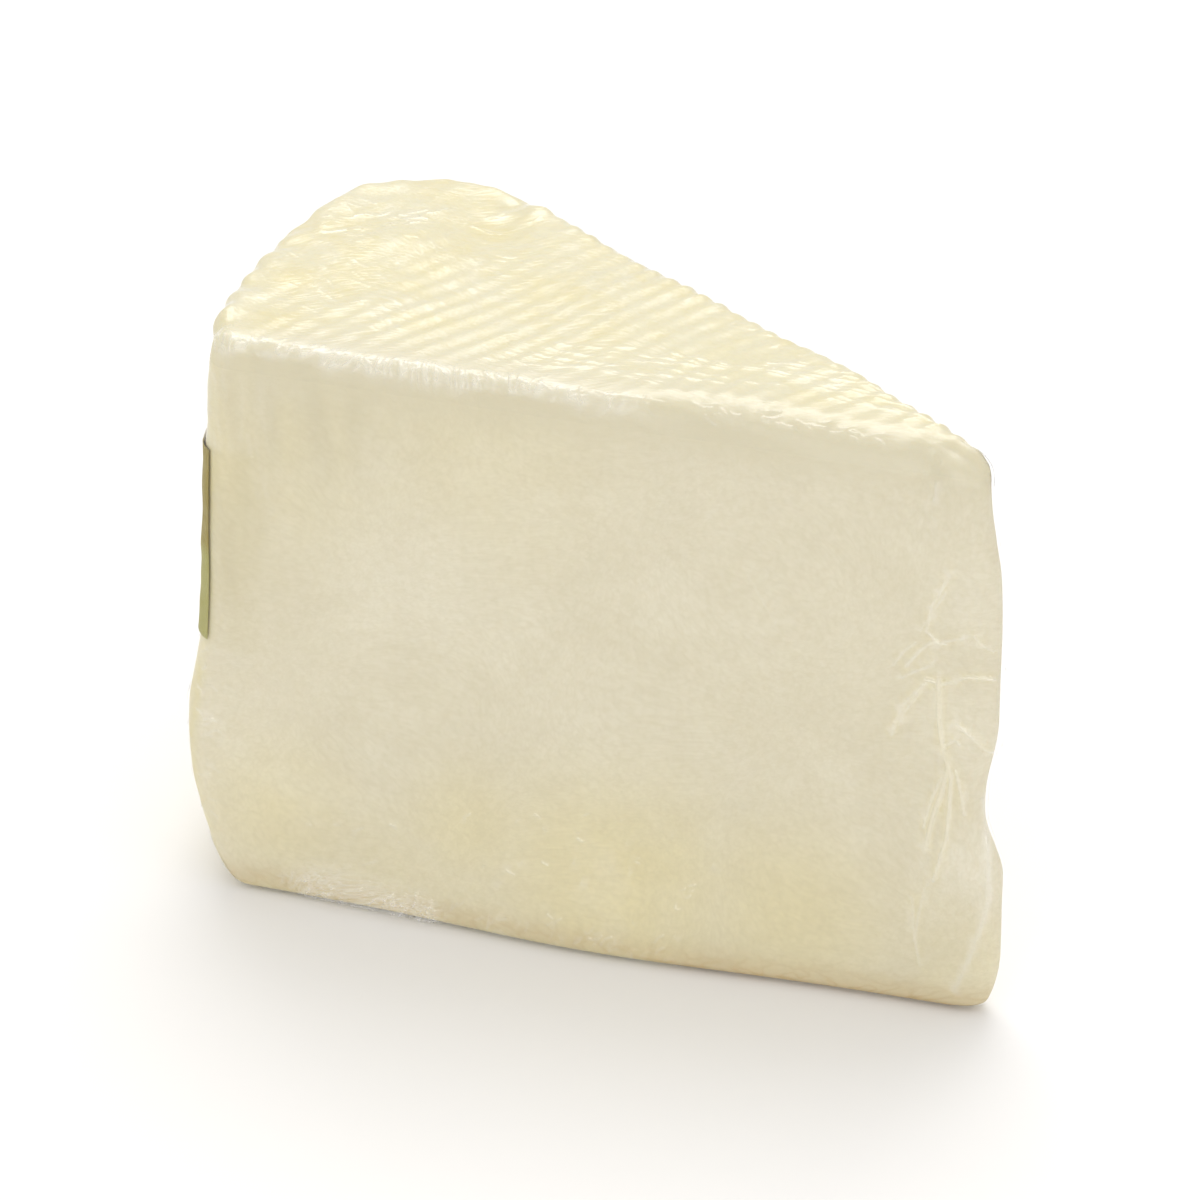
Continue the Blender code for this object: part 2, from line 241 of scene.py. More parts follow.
# Where the rind is tinted: centre, radius and share
TINTED_PLACES_MM = (
    ((-39.0, -8.0, 75.0), 6.0, 0.9),
    ((-35.0, -17.5, 75.0), 7.0, 0.9),
    ((-27.0, 2.5, 75.0), 6.0, 0.7),
    ((-26.5, 14.0, 75.0), 7.0, 0.95),
    ((-31.0, 12.0, 75.0), 6.0, 0.5),
    ((-16.0, 6.0, 75.0), 7.0, 0.4),
    ((0.0, 2.0, 75.0), 8.0, 0.22),
    ((14.0, 1.0, 75.0), 9.0, 0.3),
    ((29.0, -1.0, 75.0), 9.0, 0.35),
    ((43.0, -2.5, 73.5), 3.2, 1.0),
    ((47.5, -2.0, 73.5), 3.0, 0.8),
    ((46.0, 0.5, 68.0), 4.0, 0.5),
)


def size(name, description, value, unit="LENGTH"):
    """A size that the sidebar shows."""
    return FloatProperty(name=name, description=description, default=value, unit=unit, precision=5)


def colour(name, description, value):
    """A colour that the sidebar shows."""
    return FloatVectorProperty(name=name, description=description, default=value, subtype="COLOR",
                               size=3, min=0.0, max=1.0)


class WedgeForm(PropertyGroup):
    """Sizes of the smooth wedge."""
    height: size("Height", "From the lower rind to the upper one", 75.4 * MM)
    half_angle: size("Half angle", "Between a cut face and the middle", math.radians(15.5), "ROTATION")
    point_to_rind: size("Point to rind", "From where the cut faces would meet to the rind", 100.0 * MM)
    rind_radius: size("Rind radius", "Of the curved rind, seen from above", 60.0 * MM)
    rind_shift: size("Rind shift", "Sideways, of the rind's middle", 1.0 * MM)
    point_round: size("Point", "Rounding of the point", 5.0 * MM)
    front_corner: size("Front corner", "Rounding between front face and rind", 3.2 * MM)
    back_corner: size("Back corner", "Rounding between back face and rind", 15.0 * MM)
    cut_foot: size("Cut foot", "Rounding under the cut faces", 1.5 * MM)
    rind_foot: size("Rind foot", "Rounding under the curved rind", 12.0 * MM)
    top_edge: size("Top edge", "Rounding of the top's edge", 2.2 * MM)
    slumped_edge: size("Slumped edge", "Rounding of the top's edge near the point", 4.6 * MM)
    upper_rind_swell: size("Upper rind swell", "How far the rind bulges above", 1.5 * MM)
    lower_rind_swell: size("Lower rind swell", "How far the rind bulges below", 4.3 * MM)
    upper_point_swell: size("Upper point swell", "How far the point bulges above", 1.5 * MM)
    lower_point_swell: size("Lower point swell", "How far the point bulges below", 2.6 * MM)
    point_lean: size("Point lean", "How much further the point reaches below its top", 0.75 * MM)
    foot_swell: size("Foot swell", "How far the front face bulges at its foot", 2.2 * MM)
    point_drop: size("Point drop", "How far the top falls towards the point", 0.8 * MM)
    ridge_angle: size("Ridge angle", "Of the mat's ridges from the wedge's length", math.radians(72.0),
                      "ROTATION")
    ridge_pitch: size("Ridge pitch", "Between the mat's ridges", 2.7 * MM)
    ridge_depth: size("Ridge depth", "Of the mat's ridges", 0.42 * MM)
    ridge_wander: size("Ridge wander", "How far a ridge strays from straight", 0.5 * MM)
    smooth_band: size("Smooth band", "Beside the front face, where the ridges are flat", 7.0 * MM)
    film_gap: size("Film gap", "Between film and cheese", 0.15 * MM)


class WedgeColours(PropertyGroup):
    """Colours of the cheese and its label."""
    paste: colour("Paste", "The cut faces", (0.665, 0.612, 0.455))
    # Yellower paste: for the listed yellower places, for painted warm light low on the wedge and for
    # painted shade under the point's folds
    yellow_paste_and_shade: colour("Ripe paste", "The yellower paste near the lower rind", (0.70, 0.62, 0.35))
    # Painted light: paler paste where the film lifts off the cut faces and on the point, which faces the
    # light
    painted_light_paste: colour("Pale paste", "Paler places in the cut faces", (0.73, 0.685, 0.54))
    # Painted shade: paste darkened where less light reaches the cut faces, and along the top's front
    # shoulder
    painted_shade_paste: colour("Dull paste", "Duller places in the cut faces", (0.585, 0.53, 0.36))
    # Painted shade: the warm brown contact shadow at the wedge's foot
    painted_foot_shade: colour("Foot tint", "Brownish tint at the wedge's foot", (0.50, 0.355, 0.15))
    paste_marks: colour("Paste marks", "Faint marks in the cut faces", (0.45, 0.38, 0.22))
    rind: colour("Rind", "The mould rind", (0.645, 0.59, 0.385))
    rind_hollows: colour("Rind hollows", "The rind between its ridges", (0.65, 0.56, 0.265))
    flecks: colour("Flecks", "Fine darker flecks and fibres", (0.50, 0.44, 0.25))
    label: colour("Label", "The label's lower field", (0.37, 0.35, 0.13))
    label_panel: colour("Label panel", "The label's plain oval panel", (0.66, 0.63, 0.49))
    label_band: colour("Label band", "The label's upper field", (0.31, 0.25, 0.08))


def smoothstep(start, end, value):
    """0 before start, 1 after end and a soft step between them."""
    t = np.clip((value - start) / (end - start), 0.0, 1.0)
    return t * t * (3.0 - 2.0 * t)


def bell(value, centre, width):
    """1 at the centre, falling off softly over the width."""
    return np.exp(-((value - centre) / width) ** 2)


def plateau(z, heights_mm):
    """1 between the middle two heights, falling softly to 0 at the outer two."""
    low, full, fading, gone = (height * MM for height in heights_mm)
    return smoothstep(low, full, z) * (1.0 - smoothstep(fading, gone, z))


def round_min(a, b, radius):
    """Depth inside two walls at once, with their shared edge rounded."""
    curved = radius - np.hypot(np.maximum(radius - a, 0.0), np.maximum(radius - b, 0.0))
    return np.where((a < radius) & (b < radius), curved, np.minimum(a, b))


def walls(form, points):
    """Depth behind each wall of the wedge, before its edges are rounded."""
    x = points[:, 0] - POINT_X
    y = points[:, 1] - POINT_Y
    z = points[:, 2]
    sine, cosine = math.sin(form.half_angle), math.cos(form.half_angle)
    swell = form.upper_point_swell * plateau(z, UPPER_SWELL_MM)
    swell += form.lower_point_swell * plateau(z, LOWER_SWELL_MM)
    swell += form.point_lean * plateau(z, LEAN_MM)
    pushed = x - swell * smoothstep(-45.0 * MM, -8.0 * MM, x)
    front_foot = bell(points[:, 0], 5.0 * MM, 22.0 * MM) * bell(z, 3.0 * MM, 8.0 * MM)
    front = y * cosine - pushed * sine + form.foot_swell * front_foot
    back = -y * cosine - pushed * sine
    bulge = form.upper_rind_swell * bell(z, 48.0 * MM, 20.0 * MM)
    bulge += form.lower_rind_swell * bell(z, 18.5 * MM, 15.5 * MM)
    centre = form.rind_radius - form.point_to_rind
    rind = form.rind_radius + bulge - np.hypot(x - centre, y - form.rind_shift)
    return front, back, rind


def depth_inside(form, points):
    """Depth of each point inside the smooth wedge, negative outside it."""
    front, back, rind = walls(form, points)
    x, y, z = points.T
    behind = smoothstep(-8.0 * MM, 8.0 * MM, y)
    corner = form.front_corner + (form.back_corner - form.front_corner) * behind
    plan = round_min(front, back, form.point_round)
    sides = round_min(plan, rind, corner)
    near_rind = smoothstep(-4.0 * MM, 7.0 * MM, plan - rind)
    foot = form.cut_foot + (form.rind_foot - form.cut_foot) * near_rind
    slumped = smoothstep(5.0 * MM, 14.0 * MM, x) * (1.0 - smoothstep(-1.0 * MM, 3.0 * MM, front - back))
    shoulder = form.top_edge + (form.slumped_edge - form.top_edge) * slumped
    top = form.height - form.point_drop * smoothstep(0.0, 50.0 * MM, x) - z
    return round_min(round_min(sides, z, foot), top, shoulder)


def slope_of_depth(form, points):
    """The direction in which the depth grows, and how fast."""
    step = 0.01 * MM
    slope = np.empty_like(points)
    for axis in range(3):
        move = np.zeros(3)
        move[axis] = step
        rise = depth_inside(form, points + move) - depth_inside(form, points - move)
        slope[:, axis] = rise / (2.0 * step)
    return slope


def pull_to_depth(form, points, depth, steps=22):
    """Move points along the slope until they lie at a depth; negative depths are outside."""
    for _ in range(steps):
        slope = slope_of_depth(form, points)
        steepness = np.maximum((slope ** 2).sum(axis=1), 0.05)
        move = np.clip((depth - depth_inside(form, points)) / steepness, -2.0 * MM, 2.0 * MM)
        points = points + slope * move[:, None]
    return points


def outward(form, points):
    """The surface's direction at each point."""
    slope = slope_of_depth(form, points)
    return -slope / np.linalg.norm(slope, axis=1)[:, None]


def distance_to_path(points, path):
    """Distance from each point to a path of straight runs."""
    nearest = np.full(len(points), np.inf)
    for start, end in zip(path[:-1], path[1:]):
        run = end - start
        along = np.clip((points - start) @ run / (run @ run), 0.0, 1.0)
        away = points - start - along[:, None] * run
        nearest = np.minimum(nearest, np.sqrt((away ** 2).sum(axis=1)))
    return nearest


def laid_folds(form, table, widened=1.0, raised=1.0):
    """Folds in metres from a table in millimetres, with their paths laid on the wedge."""
    return [(widened * half_width * MM, raised * height * MM,
             pull_to_depth(form, np.array(path) * MM, FILM_DEPTH, steps=12))
            for half_width, height, path in table]


def mirrored(table):
    """The same folds on the wedge's other side."""
    return [(half_width, height, [(x, 2.0 * POINT_Y / MM - y, z) for x, y, z in path])
            for half_width, height, path in table]


def unit(vector):
    """The vector at length 1."""
    return vector / np.linalg.norm(vector)


def scattered_folds(form):
    """The small folds of every field, each laid on the wedge."""
    random = np.random.default_rng(11)
    made = []
    for count, corner, first, second, run, lean, bend, lengths, half_widths, heights in FOLD_FIELDS_MM:
        first, second, run = np.array(first), np.array(second), unit(np.array(run))
        sides = [side - (side @ run) * run for side in (first, second)]
        sideways = unit(max(sides, key=np.linalg.norm))
        for _ in range(count):
            place = np.array(corner) + random.random() * first + random.random() * second
            start_lean = random.uniform(-lean, lean)
            curl = random.uniform(-bend, bend)
            step = random.uniform(*lengths) / 4.0
            path = [place]
            for turn in range(4):
                place = place + step * unit(run + (start_lean + curl * turn) * sideways)
                path.append(place)
            fold = (random.uniform(*half_widths) * MM, random.uniform(*heights) * MM, np.array(path) * MM)
            made.append(fold)
    laid = pull_to_depth(form, np.concatenate([path for _, _, path in made]), FILM_DEPTH, steps=14)
    return [(half_width, height, path) for (half_width, height, _), path
            in zip(made, np.split(laid, len(made)))]


def fold_field(points, folds, reach):
    """Height of the folds at each point, and the distance to the nearest one within reach."""
    height = np.zeros(len(points))
    nearest = np.full(len(points), reach)
    for half_width, rise, path in folds:
        low, high = path.min(axis=0) - reach, path.max(axis=0) + reach
        near = np.flatnonzero(((points > low) & (points < high)).all(axis=1))
        if len(near) == 0:
            continue
        away = distance_to_path(points[near], path)
        nearest[near] = np.minimum(nearest[near], away)
        own = rise * bell(away, 0.0, half_width)
        height[near] = np.where(np.abs(own) > np.abs(height[near]), own, height[near])
    return height, nearest


def cloud(points, pitch, seed=0.0):
    """Smooth noise from about -1 to 1 at each point."""
    return np.array([noise.noise(Vector(point) / pitch + Vector((seed, 0.0, 0.0))) for point in points])


def unevenness(form, points, normals):
    """Height of the soft bumps of the rind, which are slighter on the cut faces."""
    front, back, rind = walls(form, points)
    on_cut = 1.0 - smoothstep(0.4 * MM, 3.0 * MM, np.minimum(front, back))
    share = 1.0 - 0.8 * on_cut * (1.0 - np.abs(normals[:, 2]))
    near_rind = 0.45 + 0.55 * (1.0 - smoothstep(-38.0 * MM, -10.0 * MM, points[:, 0]))
    height = 0.3 * cloud(points, 6.5 * MM) + 0.16 * cloud(points, 2.8 * MM, seed=7.0)
    rim = 1.0 - smoothstep(1.5 * MM, 6.0 * MM, rind)
    rim *= smoothstep(-8.0 * MM, -2.0 * MM, points[:, 2] - form.height)
    return height * MM * share * near_rind + 0.85 * MM * rim * cloud(points, 3.6 * MM, seed=13.0)


def mat_ridges(form, points):
    """Height of the mat's ridges, which wander a little and fade in patches."""
    x, y = points[:, 0], points[:, 1]
    across = x * math.sin(form.ridge_angle) - y * math.cos(form.ridge_angle)
    across = across + form.ridge_wander * np.sin(x / (11.0 * MM) + y / (6.0 * MM))
    patches = 0.7 + 0.3 * np.sin(x / (6.0 * MM) + 1.0) * np.sin(y / (5.0 * MM) - 0.6)
    fainter = 1.0 - 0.3 * smoothstep(-12.0 * MM, 12.0 * MM, x)
    patches *= (1.0 + 0.9 * cloud(points, 3.2 * MM, seed=5.0)) * fainter
    front, back, _ = walls(form, points)
    behind_edge = 0.3 + 0.7 * smoothstep(0.0, form.smooth_band, front)
    behind_edge *= 1.0 + 0.1 * (1.0 - smoothstep(1.0 * MM, 7.0 * MM, back))
    past_rind = 0.25 + 0.75 * smoothstep(-36.0 * MM, -16.0 * MM, x - 0.4 * y)
    wave = np.cos(2.0 * math.pi * across / form.ridge_pitch)
    return -0.5 * form.ridge_depth * wave * patches * behind_edge * past_rind


def rind_relief(form, points, normals, ridge_share):
    """Height of the ridges and lumps of the top, and of the rind's unevenness."""
    facing_up = smoothstep(0.25, 0.8, normals[:, 2])
    height = unevenness(form, points, normals) + ridge_share * mat_ridges(form, points) * facing_up
    for x, y, radius, lump in TOP_LUMPS_MM:
        away = np.hypot(points[:, 0] - x * MM, points[:, 1] - y * MM)
        height += lump * MM * bell(away, 0.0, radius * MM) * facing_up
    return height


def gridded_cube(cells):
    """A cube from -1 to 1 whose edges are cut into a number of cells along each axis."""
    mesh = bmesh.new()
    bmesh.ops.create_cube(mesh, size=2.0)
    for axis, count in enumerate(cells):
        along = [edge for edge in mesh.edges
                 if abs(edge.verts[0].co[axis] - edge.verts[1].co[axis]) > 1.0]
        if count > 1:
            bmesh.ops.subdivide_edges(mesh, edges=along, cuts=count - 1, use_grid_fill=True)
    return mesh


def vertex_array(mesh):
    """The mesh's vertices as rows of numbers."""
    return np.array([vertex.co[:] for vertex in mesh.verts])


def cut_finer(mesh, chosen, longest):
    """Halve the edges between chosen vertices that are longer than a length."""
    mesh.verts.index_update()
    edges = [edge for edge in mesh.edges if chosen[edge.verts[0].index] and chosen[edge.verts[1].index]
             and edge.calc_length() > longest]
    bmesh.ops.subdivide_edges(mesh, edges=edges, cuts=1, use_grid_fill=True)


def set_vertices(mesh, points):
    """Put the mesh's vertices at these points."""
    for vertex, point in zip(mesh.verts, points):
        vertex.co = point


def cage(form, cube):
    """The cube's points on a cage with straight walls, just outside the smooth wedge."""
    clearance = 2.5 * MM
    toward_rind = 0.5 * (1.0 - cube[:, 0])
    spread = math.tan(form.half_angle) * cube[:, 1]
    reach = form.point_to_rind / np.sqrt(1.0 + spread ** 2) + clearance
    back = clearance + (reach - clearance) * toward_rind
    sideways = back * spread + clearance * cube[:, 1]
    height = 0.5 * form.height + (0.5 * form.height + clearance) * cube[:, 2]
    return np.column_stack((POINT_X - back, POINT_Y + sideways, height))


def wedge_mesh(form, cells, depth):
    """A mesh on the smooth wedge at a depth, with its top cut finer, and its points."""
    mesh = gridded_cube(cells)
    smooth = pull_to_depth(form, cage(form, vertex_array(mesh)), depth)
    set_vertices(mesh, smooth)
    cut_finer(mesh, smooth[:, 2] > 0.97 * form.height, 0.0)
    return mesh, pull_to_depth(form, vertex_array(mesh), depth, steps=6)


def new_piece(name, mesh, material, solid, marks=None):
    """A shown piece that rides on the wedge and replaces a solid, with its marks for the material."""
    data = bpy.data.meshes.new(name)
    mesh.to_mesh(data)
    mesh.free()
    data.materials.append(material)
    data.shade_smooth()
    for title, values in (marks or {}).items():
        attribute = data.attributes.new(title, "FLOAT", "POINT")
        attribute.data.foreach_set("value", np.asarray(values, dtype=np.float32))
    piece = bpy.data.objects.new(name, data)
    bpy.context.scene.collection.objects.link(piece)
    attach(piece, ROOT)
    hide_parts(solid)


def node(tree, kind, inputs=None, **settings):
    """A shader node with its settings and plain input values."""
    made = tree.nodes.new(kind)
    for name, value in settings.items():
        setattr(made, name, value)
    for name, value in (inputs or {}).items():
        if isinstance(value, bpy.types.NodeSocket):
            tree.links.new(value, made.inputs[name])
        else:
            made.inputs[name].default_value = value
    return made


def calc(tree, operation, first, second=0.0, clamp=False):
    """The result of a Math node on sockets or numbers."""
    made = node(tree, "ShaderNodeMath", {0: first, 1: second}, operation=operation, use_clamp=clamp)
    return made.outputs[0]


def mark(tree, name):
    """A piece's own mark, from 0 to 1."""
    return node(tree, "ShaderNodeAttribute", attribute_name=name).outputs["Fac"]


def object_place(tree):
    """Where a shaded place lies on its object."""
    return node(tree, "ShaderNodeTexCoord").outputs["Object"]


def height_of(tree, place):
    """How high a shaded place lies."""
    return node(tree, "ShaderNodeSeparateXYZ", {0: place}).outputs["Z"]


def bumped(tree, height, strength, distance):
    """The normal of a surface with small heights."""
    inputs = {"Height": height, "Strength": strength, "Distance": distance}
    return node(tree, "ShaderNodeBump", inputs).outputs[0]


def noise_of(tree, place, scale, detail):
    """Noise from 0 to 1."""
    inputs = {"Vector": place, "Scale": scale, "Detail": detail}
    return node(tree, "ShaderNodeTexNoise", inputs).outputs["Fac"]


def step_of(tree, value, start, end, low=0.0, high=1.0):
    """A soft step of a value from low at start to high at end."""
    inputs = {"Value": value, "From Min": start, "From Max": end, "To Min": low, "To Max": high}
    return node(tree, "ShaderNodeMapRange", inputs, interpolation_type="SMOOTHSTEP").outputs["Result"]


def blend(tree, share, first, second):
    """One colour turning into another."""
    made = node(tree, "ShaderNodeMix", {"Factor": share}, data_type="RGBA")
    for socket, value in ((made.inputs[6], first), (made.inputs[7], second)):
        if isinstance(value, bpy.types.NodeSocket):
            tree.links.new(value, socket)
        else:
            socket.default_value = (*value, 1.0)
    return made.outputs[2]


def new_material(name):
    """An empty node material and its output node."""
    material = bpy.data.materials.new(name)
    material.use_nodes = True
    tree = material.node_tree
    tree.nodes.clear()
    return material, tree, node(tree, "ShaderNodeOutputMaterial")


def new_group(name, inputs, outputs):
    """A node group with named value inputs and outputs, and its two end nodes."""
    tree = bpy.data.node_groups.new(name, "ShaderNodeTree")
    for label, kind, value in inputs:
        socket = tree.interface.new_socket(label, in_out="INPUT", socket_type=kind)
        if value is not None:
            socket.default_value = value
    for label, kind in outputs:
        tree.interface.new_socket(label, in_out="OUTPUT", socket_type=kind)
    return tree, node(tree, "NodeGroupInput"), node(tree, "NodeGroupOutput")


def patches_group():
    """Soft patches: a mask from 0 to 1 of a size, with a share that it covers."""
    name = "Soft patches"
    if name in bpy.data.node_groups:
        return bpy.data.node_groups[name]
    inputs = (("Vector", "NodeSocketVector", None), ("Scale", "NodeSocketFloat", 100.0),
              ("Detail", "NodeSocketFloat", 3.0), ("Level", "NodeSocketFloat", 0.5),
              ("Softness", "NodeSocketFloat", 0.15))
    tree, start, end = new_group(name, inputs, (("Mask", "NodeSocketFloat"),))
    soft = noise_of(tree, start.outputs["Vector"], start.outputs["Scale"], start.outputs["Detail"])
    low = calc(tree, "SUBTRACT", start.outputs["Level"], start.outputs["Softness"])
    high = calc(tree, "ADD", start.outputs["Level"], start.outputs["Softness"])
    tree.links.new(step_of(tree, soft, low, high), end.inputs["Mask"])
    return tree


def streaks_group():
    """Long thin streaks: a height from noise that is stretched along a turned direction."""
    name = "Stretched streaks"
    if name in bpy.data.node_groups:
        return bpy.data.node_groups[name]
    inputs = (("Vector", "NodeSocketVector", None), ("Turn", "NodeSocketVector", None),
              ("Stretch", "NodeSocketVector", None), ("Bend", "NodeSocketFloat", 0.0),
              ("Detail", "NodeSocketFloat", 2.0), ("Thinness", "NodeSocketFloat", 8.0))
    tree, start, end = new_group(name, inputs, (("Height", "NodeSocketFloat"),))
    vector = start.outputs["Vector"]
    mixed = node(tree, "ShaderNodeMapping", {
        "Vector": vector, "Rotation": (0.9, 0.5, 0.7), "Scale": (310.0, 240.0, 270.0)})
    wobble = node(tree, "ShaderNodeVectorMath", {0: mixed.outputs[0]}, operation="SINE")
    bent = node(tree, "ShaderNodeVectorMath", {
        0: wobble.outputs[0], "Scale": start.outputs["Bend"]}, operation="SCALE")
    moved = node(tree, "ShaderNodeVectorMath", {0: vector, 1: bent.outputs[0]}, operation="ADD")
    turned = node(tree, "ShaderNodeMapping", {
        "Vector": moved.outputs[0], "Rotation": start.outputs["Turn"]})
    placed = node(tree, "ShaderNodeMapping", {
        "Vector": turned.outputs[0], "Scale": start.outputs["Stretch"]})
    soft = noise_of(tree, placed.outputs[0], 1.0, start.outputs["Detail"])
    folded = calc(tree, "ABSOLUTE", calc(tree, "SUBTRACT", soft, 0.5))
    thinned = calc(tree, "MULTIPLY", folded, start.outputs["Thinness"])
    crest = calc(tree, "SUBTRACT", 1.0, thinned, clamp=True)
    tree.links.new(crest, end.inputs["Height"])
    return tree


def places(points, table):
    """How much each point lies in the soft round places of a table, from 0 to 1."""
    covered = np.zeros(len(points))
    for centre, radius, most in table:
        away = np.linalg.norm(points - np.array(centre) * MM, axis=1)
        covered = np.maximum(covered, most * (1.0 - smoothstep(0.0, radius * MM, away)))
    return covered


def use_group(tree, group, inputs):
    """A node that places a group with its own values."""
    return node(tree, "ShaderNodeGroup", inputs, node_tree=group).outputs[0]


def cheese_material(colours):
    """Moist paste on the cut faces and pale mould rind round them."""
    material, tree, end = new_material("cheese")
    place = object_place(tree)
    z = height_of(tree, place)
    names = ("rind", "hollow", "fold_shade", "yellow_tone", "painted_shade", "pale", "tint", "shoulder")
    rind, hollow, fold_shade, yellow_tone, painted_shade, pale, tint, shoulder = (mark(tree, name) for name in names)
    patches, streaks = patches_group(), streaks_group()

    # yellower in the listed places, and low down where warm light bounced from below is painted in
    paste = blend(tree, yellow_tone, colours.paste, colours.yellow_paste_and_shade)
    # painted shade darkens the paste in the listed places, in soft vertical bands
    paste = blend(tree, painted_shade, paste, colours.painted_shade_paste)
    # painted light makes the paste paler in soft patches and on the point
    paste = blend(tree, pale, paste, colours.painted_light_paste)
    # painted shade under the point's folds, where the film pleats
    paste = blend(tree, calc(tree, "MULTIPLY", fold_shade, 0.5), paste, colours.yellow_paste_and_shade)
    mottle = use_group(tree, patches, {
        "Vector": place, "Scale": 150.0, "Detail": 2.0, "Softness": 0.25})
    veins = use_group(tree, streaks, {
        "Vector": place, "Turn": FRONT_FACE_TURN, "Stretch": (330.0, 400.0, 560.0),
        "Bend": 0.002, "Detail": 1.0, "Thinness": 10.0})
    marks = calc(tree, "ADD", calc(tree, "MULTIPLY", mottle, 0.1), calc(tree, "MULTIPLY", veins, 0.075))
    paste = blend(tree, marks, paste, colours.paste_marks)
    # painted warm contact shadow at the foot, with darker streaks for the shade of the crumpled film
    # there
    foot_shade = calc(tree, "ADD", step_of(tree, z, 5.5 * MM, 0.0, 0.0, 0.5),
                step_of(tree, z, 1.8 * MM, 0.2 * MM, 0.0, 0.45))
    veined = calc(tree, "MULTIPLY", calc(tree, "MULTIPLY", foot_shade, veins), 0.5)
    foot_shade = calc(tree, "ADD", foot_shade, veined, clamp=True)
    paste = blend(tree, foot_shade, paste, colours.painted_foot_shade)

    tinted = use_group(tree, patches, {
        "Vector": place, "Scale": 95.0, "Detail": 1.0, "Level": 0.54, "Softness": 0.1})
    speckled = use_group(tree, patches, {
        "Vector": place, "Scale": 420.0, "Detail": 2.0, "Level": 0.5, "Softness": 0.12})
    share = calc(tree, "ADD", calc(tree, "MULTIPLY", speckled, 0.3), calc(tree, "MULTIPLY", tinted, 0.35))
    share = calc(tree, "ADD", share, calc(tree, "MULTIPLY", hollow, 0.15), clamp=True)
    share = calc(tree, "MAXIMUM", share, tint)
    crust = blend(tree, share, colours.rind, colours.rind_hollows)
    skin = blend(tree, rind, paste, crust)

    grain = noise_of(tree, place, 1200.0, 1.0)
    fibres = use_group(tree, streaks, {
        "Vector": place, "Turn": FIBRE_TURN, "Stretch": (620.0, 1700.0, 1700.0),
        "Bend": 0.003, "Detail": 0.0, "Thinness": 5.0})
    speckles = step_of(tree, grain, 0.42, 0.62, 0.0, 0.1)
    flecks = calc(tree, "ADD", speckles, calc(tree, "MULTIPLY", fibres, 0.13))
    skin = blend(tree, flecks, skin, colours.flecks)
    # painted shade along the top's front shoulder, darkening the rind there
    skin = blend(tree, calc(tree, "MULTIPLY", shoulder, 0.85), skin, colours.painted_shade_paste)
    shader = node(tree, "ShaderNodeBsdfPrincipled", {
        "Base Color": skin, "Roughness": 0.55, "Normal": bumped(tree, grain, 0.25, 0.2 * MM),
        "Subsurface Weight": 0.1, "Subsurface Radius": (1.0, 0.65, 0.3), "Subsurface Scale": 3.0 * MM})
    tree.links.new(shader.outputs[0], end.inputs["Surface"])
    return material


def film_material():
    """Clear cling film: a glossy skin that shows at its creases and where it is seen edge on."""
    material, tree, end = new_material("cling_film")
    place = object_place(tree)
    names = ("edge", "loose", "haze_and_glints", "stuck", "matt")
    edge, loose, haze_and_glint_mark, stuck, matt = (mark(tree, name) for name in names)
    streaks = streaks_group()
    across = use_group(tree, streaks, {
        "Vector": place, "Turn": FRONT_FACE_TURN, "Stretch": (900.0, 300.0, 300.0),
        "Bend": 0.002, "Detail": 0.0, "Thinness": 5.0})
    along = use_group(tree, streaks, {
        "Vector": place, "Turn": FRONT_FACE_TURN, "Stretch": (520.0, 2100.0, 2100.0),
        "Bend": 0.003, "Detail": 0.0, "Thinness": 5.0})
    ragged_edge = calc(tree, "MULTIPLY", across, edge)
    strokes = calc(tree, "MULTIPLY", along, loose)
    normal = bumped(tree, calc(tree, "ADD", ragged_edge, strokes), 1.0, 0.12 * MM)
    fresnel = node(tree, "ShaderNodeFresnel", {"IOR": 1.5, "Normal": normal}).outputs[0]
    # painted highlights: the crumpled edge's streaks and the strokes over the top add white haze that
    # stands in for glints
    haze_and_glints = calc(tree, "ADD", haze_and_glint_mark, calc(tree, "MULTIPLY", ragged_edge, 0.13))
    haze_and_glints = calc(tree, "ADD", haze_and_glints, calc(tree, "MULTIPLY", strokes, 0.4))
    lifted = calc(tree, "SUBTRACT", 1.0, calc(tree, "MULTIPLY", stuck, 0.85), clamp=True)
    share = calc(tree, "MULTIPLY", calc(tree, "ADD", fresnel, haze_and_glints, clamp=True), lifted)
    metal = calc(tree, "SUBTRACT", 1.0, calc(tree, "MULTIPLY", haze_and_glints, 2.5), clamp=True)
    roughness = calc(tree, "ADD", calc(tree, "MULTIPLY", matt, 0.24), 0.14)
    clear = node(tree, "ShaderNodeBsdfTransparent").outputs[0]
    gloss = node(tree, "ShaderNodeBsdfPrincipled", {
        "Base Color": (1.0, 1.0, 1.0, 1.0), "Metallic": metal, "Roughness": roughness,
        "Normal": normal}).outputs[0]
    skin = node(tree, "ShaderNodeMixShader", {0: share, 1: clear, 2: gloss}).outputs[0]
    inside = node(tree, "ShaderNodeNewGeometry").outputs["Backfacing"]
    both_sides = node(tree, "ShaderNodeMixShader", {0: inside, 1: skin, 2: clear})
    tree.links.new(both_sides.outputs[0], end.inputs["Surface"])
    return material


